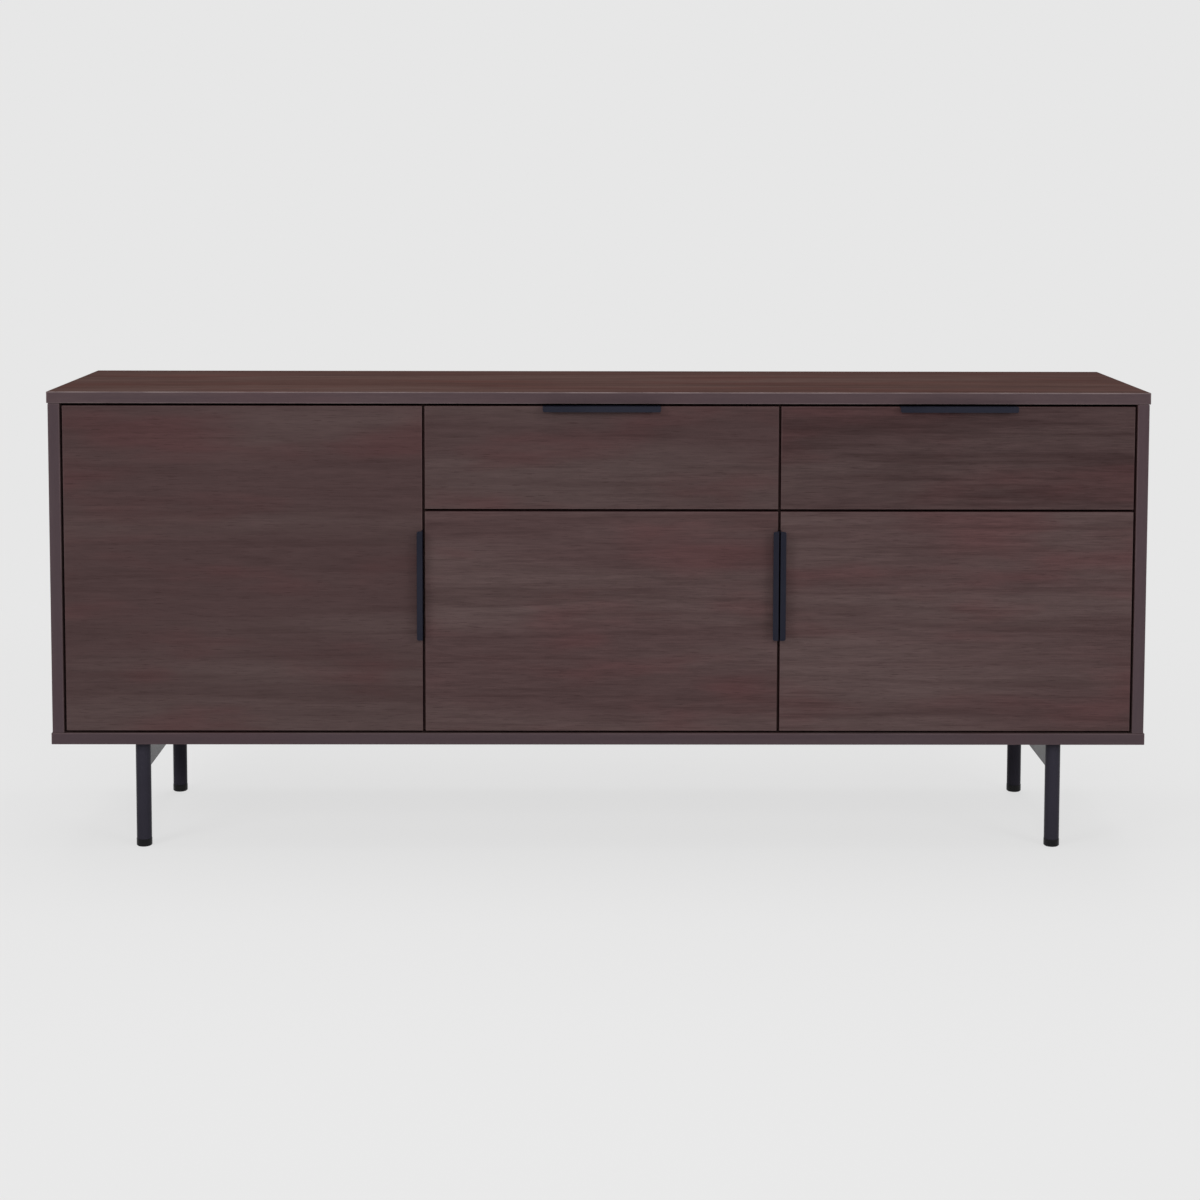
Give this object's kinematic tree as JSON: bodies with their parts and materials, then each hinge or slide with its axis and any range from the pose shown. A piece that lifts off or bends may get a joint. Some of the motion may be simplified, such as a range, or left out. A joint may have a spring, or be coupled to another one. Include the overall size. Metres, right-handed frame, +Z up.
{
  "type": "sideboard",
  "caption": "Low inset-front sideboard with a tall door, small doors under drawers, angled edge pulls and a tubular steel leg frame at each end.",
  "frame": {"origin": "On the floor under the middle of the whole object's box, handles included.", "axes": "+X along the front to the right, +Y from the front to the back, so the doors face -Y, and +Z up."},
  "size_m": [1.8, 0.413, 0.76],
  "materials": {
    "woodgrain_board": "dark reddish-brown woodgrain laminate on board, satin",
    "lining_board": "plain dark laminate on board, satin",
    "thin_board": "printed thin fibreboard, matt",
    "blue_black_steel": "blue-black powder coat, satin",
    "black_steel": "black powder coat, satin",
    "zinc_steel": "zinc plated sheet steel",
    "nickel_steel": "nickel plated pressed steel",
    "black_plastic": "moulded, matt black"
  },
  "bodies": {
    "cabinet": {"top_panel": "woodgrain_board", "bottom_panel": "woodgrain_board", "left_side_panel": "woodgrain_board", "right_side_panel": "woodgrain_board", "left_divider": "lining_board", "right_divider": "lining_board", "middle_drawer_deck": "lining_board", "right_drawer_deck": "lining_board", "back_panel": "thin_board", "left_shelf": "lining_board", "middle_shelf": "lining_board", "right_shelf": "lining_board", "left_door_lower_hinge_arm": "nickel_steel", "left_door_upper_hinge_arm": "nickel_steel", "middle_door_lower_hinge_arm": "nickel_steel", "middle_door_upper_hinge_arm": "nickel_steel", "right_door_lower_hinge_arm": "nickel_steel", "right_door_upper_hinge_arm": "nickel_steel", "middle_drawer_left_slide_cabinet_member": "zinc_steel", "middle_drawer_right_slide_cabinet_member": "zinc_steel", "right_drawer_left_slide_cabinet_member": "zinc_steel", "right_drawer_right_slide_cabinet_member": "zinc_steel", "left_leg_frame": "black_steel", "right_leg_frame": "black_steel", "front_left_foot_glide": "black_plastic", "rear_left_foot_glide": "black_plastic", "front_right_foot_glide": "black_plastic", "rear_right_foot_glide": "black_plastic"},
    "left_door": {"left_door": "woodgrain_board", "left_door_handle": "blue_black_steel", "left_door_lower_hinge_cup": "nickel_steel", "left_door_upper_hinge_cup": "nickel_steel"},
    "middle_door": {"middle_door": "woodgrain_board", "middle_door_handle": "blue_black_steel", "middle_door_lower_hinge_cup": "nickel_steel", "middle_door_upper_hinge_cup": "nickel_steel"},
    "right_door": {"right_door": "woodgrain_board", "right_door_handle": "blue_black_steel", "right_door_lower_hinge_cup": "nickel_steel", "right_door_upper_hinge_cup": "nickel_steel"},
    "middle_drawer": {"middle_drawer_front": "woodgrain_board", "middle_drawer_handle": "blue_black_steel", "middle_drawer_left_side": "lining_board", "middle_drawer_right_side": "lining_board", "middle_drawer_back": "lining_board", "middle_drawer_bottom": "thin_board", "middle_drawer_left_slide_drawer_member": "zinc_steel", "middle_drawer_right_slide_drawer_member": "zinc_steel"},
    "middle_drawer_slides": {"middle_drawer_left_slide_middle_member": "zinc_steel", "middle_drawer_right_slide_middle_member": "zinc_steel"},
    "right_drawer": {"right_drawer_front": "woodgrain_board", "right_drawer_handle": "blue_black_steel", "right_drawer_left_side": "lining_board", "right_drawer_right_side": "lining_board", "right_drawer_back": "lining_board", "right_drawer_bottom": "thin_board", "right_drawer_left_slide_drawer_member": "zinc_steel", "right_drawer_right_slide_drawer_member": "zinc_steel"},
    "right_drawer_slides": {"right_drawer_left_slide_middle_member": "zinc_steel", "right_drawer_right_slide_middle_member": "zinc_steel"}
  },
  "joints": [
    {"name": "left_door_swing", "type": "hinge", "parent": "cabinet", "child": "left_door", "pos_m": [-0.869, -0.1865, 0.4685], "axis": [0, 0, -1], "range_deg": [0, 95]},
    {"name": "middle_door_swing", "type": "hinge", "parent": "cabinet", "child": "middle_door", "pos_m": [-0.279, -0.1865, 0.382], "axis": [0, 0, -1], "range_deg": [0, 95]},
    {"name": "right_door_swing", "type": "hinge", "parent": "cabinet", "child": "right_door", "pos_m": [0.869, -0.1865, 0.382], "axis": [0, 0, 1], "range_deg": [0, 95]},
    {"name": "middle_drawer_pull", "type": "slide", "parent": "cabinet", "child": "middle_drawer", "axis": [0, -1, 0], "range_m": [0, 0.3]},
    {"name": "middle_drawer_slide_travel", "type": "slide", "parent": "cabinet", "child": "middle_drawer_slides", "axis": [0, -1, 0], "range_m": [0, 0.15]},
    {"name": "right_drawer_pull", "type": "slide", "parent": "cabinet", "child": "right_drawer", "axis": [0, -1, 0], "range_m": [0, 0.3]},
    {"name": "right_drawer_slide_travel", "type": "slide", "parent": "cabinet", "child": "right_drawer_slides", "axis": [0, -1, 0], "range_m": [0, 0.15]}
  ],
  "couplings": [
    {"joint": "middle_drawer_slide_travel", "follows": "middle_drawer_pull", "ratio": 0.5},
    {"joint": "right_drawer_slide_travel", "follows": "right_drawer_pull", "ratio": 0.5}
  ]
}
